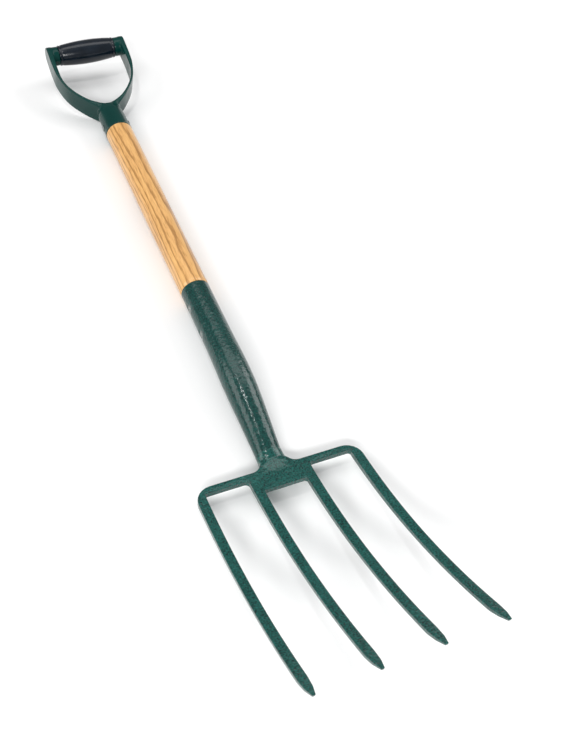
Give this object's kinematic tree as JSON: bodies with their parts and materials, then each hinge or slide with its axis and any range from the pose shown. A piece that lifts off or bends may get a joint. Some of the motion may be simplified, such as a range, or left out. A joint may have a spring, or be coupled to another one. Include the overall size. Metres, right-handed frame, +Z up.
{
  "type": "garden fork",
  "caption": "Short-shafted digging fork with curved flat tines, steel socket, turned wooden shaft and D-shaped moulded hand grip, lying on its back.",
  "frame": {"origin": "on the ground, under the middle of the fork's length and width, with the fork lying on its back", "axes": "+Y from the tines towards the hand grip, +Z up out of the hollow side of the tines, +X across the tines"},
  "size_m": [0.1952, 1.0202, 0.1434],
  "materials": {
    "painted_steel": "hammered gloss",
    "ash_wood": "clear lacquer",
    "rivet_steel": "plated",
    "green_plastic": "gloss",
    "black_grip": "satin"
  },
  "bodies": {
    "root": {"fork_head": "painted_steel", "socket": "painted_steel", "neck_weld": "painted_steel", "shaft": "ash_wood", "socket_rivet_upper": "rivet_steel", "socket_rivet_lower": "rivet_steel", "grip_frame": "green_plastic", "grip_sleeve": "black_grip", "collar_pin": "rivet_steel"}
  },
  "joints": []
}
